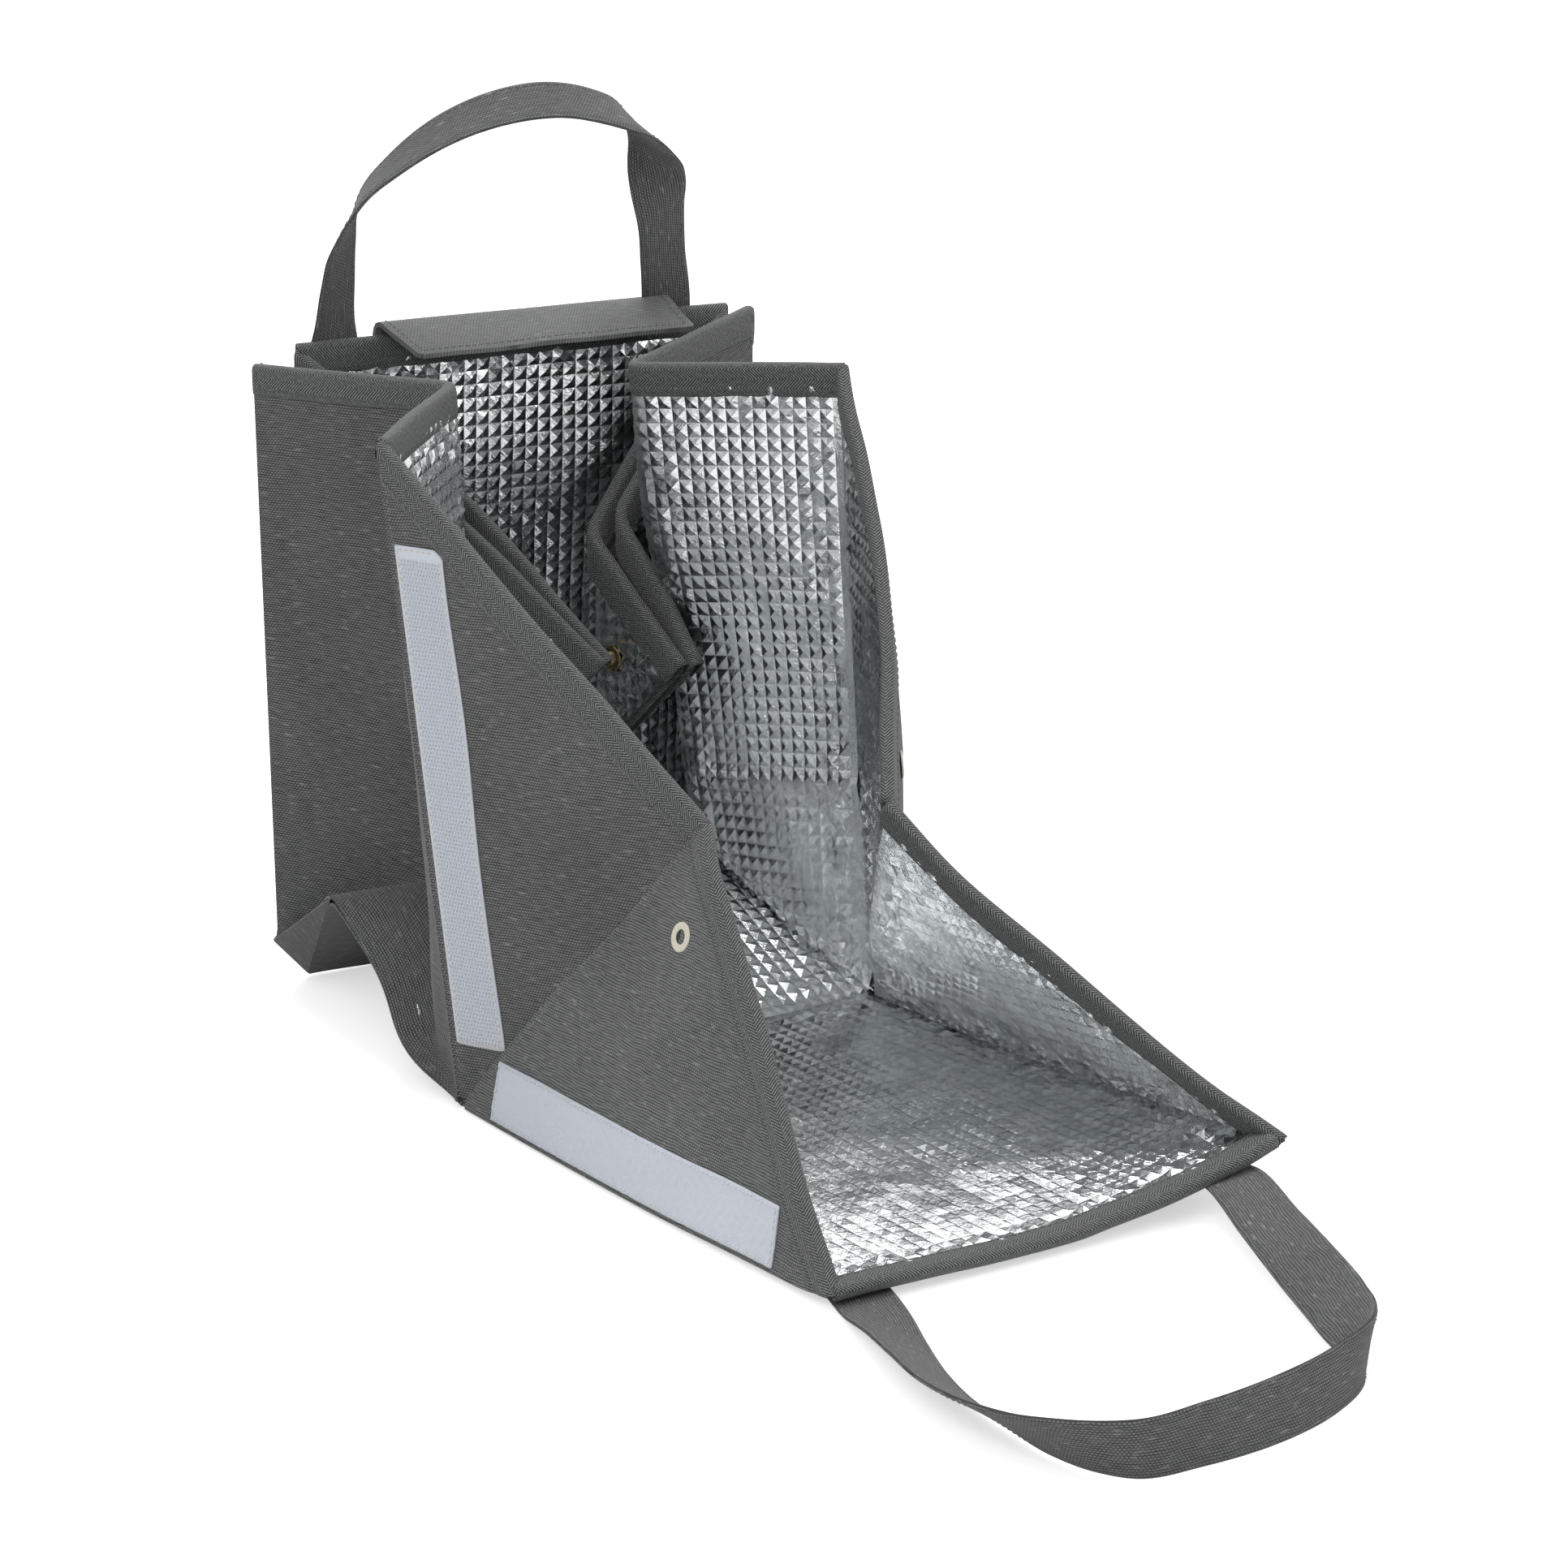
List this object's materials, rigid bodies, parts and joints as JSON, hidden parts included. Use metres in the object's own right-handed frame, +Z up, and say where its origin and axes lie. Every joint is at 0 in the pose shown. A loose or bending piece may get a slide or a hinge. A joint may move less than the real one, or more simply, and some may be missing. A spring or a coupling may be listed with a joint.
{
  "type": "insulated lunch bag",
  "caption": "Open folding lunch bag with a grey canvas outside, quilted silver lining, folding corner gussets, hook-and-loop strips, closing tab and two strap handles.",
  "frame": {"origin": "middle of the laid-down front wall's canvas underside", "axes": "+X to the bag's right, +Y from the front wall to the back wall, +Z up"},
  "size_m": [0.2727, 0.6423, 0.3941],
  "materials": {
    "canvas": "slubbed woven canvas",
    "binding": "twill tape",
    "strap": "folded and topstitched canvas",
    "foil_lining": "embossed metallised film on foam",
    "hook_strip": "hook tape",
    "loop_strip": "brushed loop tape",
    "snap_ring": "moulded",
    "snap_brass": "satin"
  },
  "bodies": {
    "bag": {"back_canvas": "canvas", "back_liner": "foil_lining", "back_binding": "binding", "base_canvas": "canvas", "base_liner": "foil_lining", "left_side_canvas": "canvas", "left_side_liner": "foil_lining", "left_side_binding": "binding", "right_side_canvas": "canvas", "right_side_liner": "foil_lining", "right_side_binding": "binding", "rear_left_canvas": "canvas", "rear_left_liner": "foil_lining", "rear_left_front_binding": "binding", "rear_left_back_binding": "binding", "rear_left_hook_strip": "hook_strip", "rear_left_loop_strip": "loop_strip", "rear_left_snap_ring": "snap_ring", "rear_right_canvas": "canvas", "rear_right_liner": "foil_lining", "rear_right_front_binding": "binding", "rear_right_back_binding": "binding", "rear_right_hook_strip": "hook_strip", "rear_right_loop_strip": "loop_strip", "rear_right_snap_ring": "snap_ring", "rear_left_snap_socket": "snap_brass", "rear_right_snap_stud": "snap_brass"},
    "front_wall": {"front_canvas": "canvas", "front_liner": "foil_lining", "front_binding": "binding", "front_loop_patch": "loop_strip"},
    "front_left_upper": {"front_left_upper_canvas": "canvas", "front_left_upper_liner": "foil_lining", "front_left_upper_binding": "binding", "front_left_hook_strip": "hook_strip"},
    "front_left_lower": {"front_left_lower_canvas": "canvas", "front_left_lower_liner": "foil_lining", "front_left_lower_binding": "binding", "front_left_loop_strip": "loop_strip", "front_left_snap_ring": "snap_ring", "front_left_snap_stud": "snap_brass"},
    "front_right_upper": {"front_right_upper_canvas": "canvas", "front_right_upper_liner": "foil_lining", "front_right_upper_binding": "binding", "front_right_hook_strip": "hook_strip", "front_right_snap_ring": "snap_ring", "front_right_snap_socket": "snap_brass"},
    "front_right_lower": {"front_right_lower_canvas": "canvas", "front_right_lower_liner": "foil_lining", "front_right_lower_binding": "binding", "front_right_loop_strip": "loop_strip"},
    "closing_tab": {"closing_tab": "strap", "tab_hook_strip": "hook_strip"},
    "back_handle": {"back_handle": "strap"},
    "front_handle": {"front_handle": "strap"}
  },
  "joints": [
    {"name": "front_fold", "type": "hinge", "parent": "bag", "child": "front_wall", "pos_m": [0, 0.14, 0.00115], "axis": [1, 0, 0], "range_deg": [-90, 0], "deforming": ["front_left_upper_canvas", "front_left_upper_liner", "front_left_upper_binding", "front_left_hook_strip", "front_left_lower_canvas", "front_left_lower_liner", "front_left_lower_binding", "front_left_loop_strip", "front_left_snap_ring", "front_left_snap_stud", "front_right_upper_canvas", "front_right_upper_liner", "front_right_upper_binding", "front_right_hook_strip", "front_right_snap_ring", "front_right_snap_socket", "front_right_lower_canvas", "front_right_lower_liner", "front_right_lower_binding", "front_right_loop_strip"]},
    {"name": "front_left_upper_fold", "type": "hinge", "parent": "bag", "child": "front_left_upper", "pos_m": [-0.105, 0.14, 0.00115], "axis": [-0.0998, 0.025, 0.9947], "range_deg": [0, 87.9]},
    {"name": "front_left_lower_fold", "type": "hinge", "parent": "front_wall", "child": "front_left_lower", "pos_m": [-0.105, 0.14, 0.00115], "axis": [0, -1, 0.0043], "range_deg": [-54.7, 0]},
    {"name": "front_right_upper_fold", "type": "hinge", "parent": "bag", "child": "front_right_upper", "pos_m": [0.105, 0.14, 0.00115], "axis": [-0.057, 0.025, 0.9981], "range_deg": [-65.8, 0]},
    {"name": "front_right_lower_fold", "type": "hinge", "parent": "front_wall", "child": "front_right_lower", "pos_m": [0.105, 0.14, 0.00115], "axis": [0, -1, 0.0043], "range_deg": [0, 58.1]},
    {"name": "back_handle_swing", "type": "hinge", "parent": "bag", "child": "back_handle", "pos_m": [0.01596, 0.30361, 0.2827], "axis": [1, 0, 0], "range_deg": [-150, 45]},
    {"name": "front_handle_lift", "type": "hinge", "parent": "front_wall", "child": "front_handle", "pos_m": [0, -0.1421, 0.0008], "axis": [-1, 0, 0], "range_deg": [0, 70]},
    {"name": "tab_swing", "type": "hinge", "parent": "bag", "child": "closing_tab", "pos_m": [0.01596, 0.30351, 0.2611], "axis": [-1, 0, 0], "range_deg": [0, 170]}
  ],
  "couplings": [
    {"joint": "front_left_upper_fold", "follows": "front_fold", "ratio": -0.9748},
    {"joint": "front_left_lower_fold", "follows": "front_fold", "ratio": 0.6066},
    {"joint": "front_right_upper_fold", "follows": "front_fold", "ratio": 0.7294},
    {"joint": "front_right_lower_fold", "follows": "front_fold", "ratio": -0.644}
  ]
}
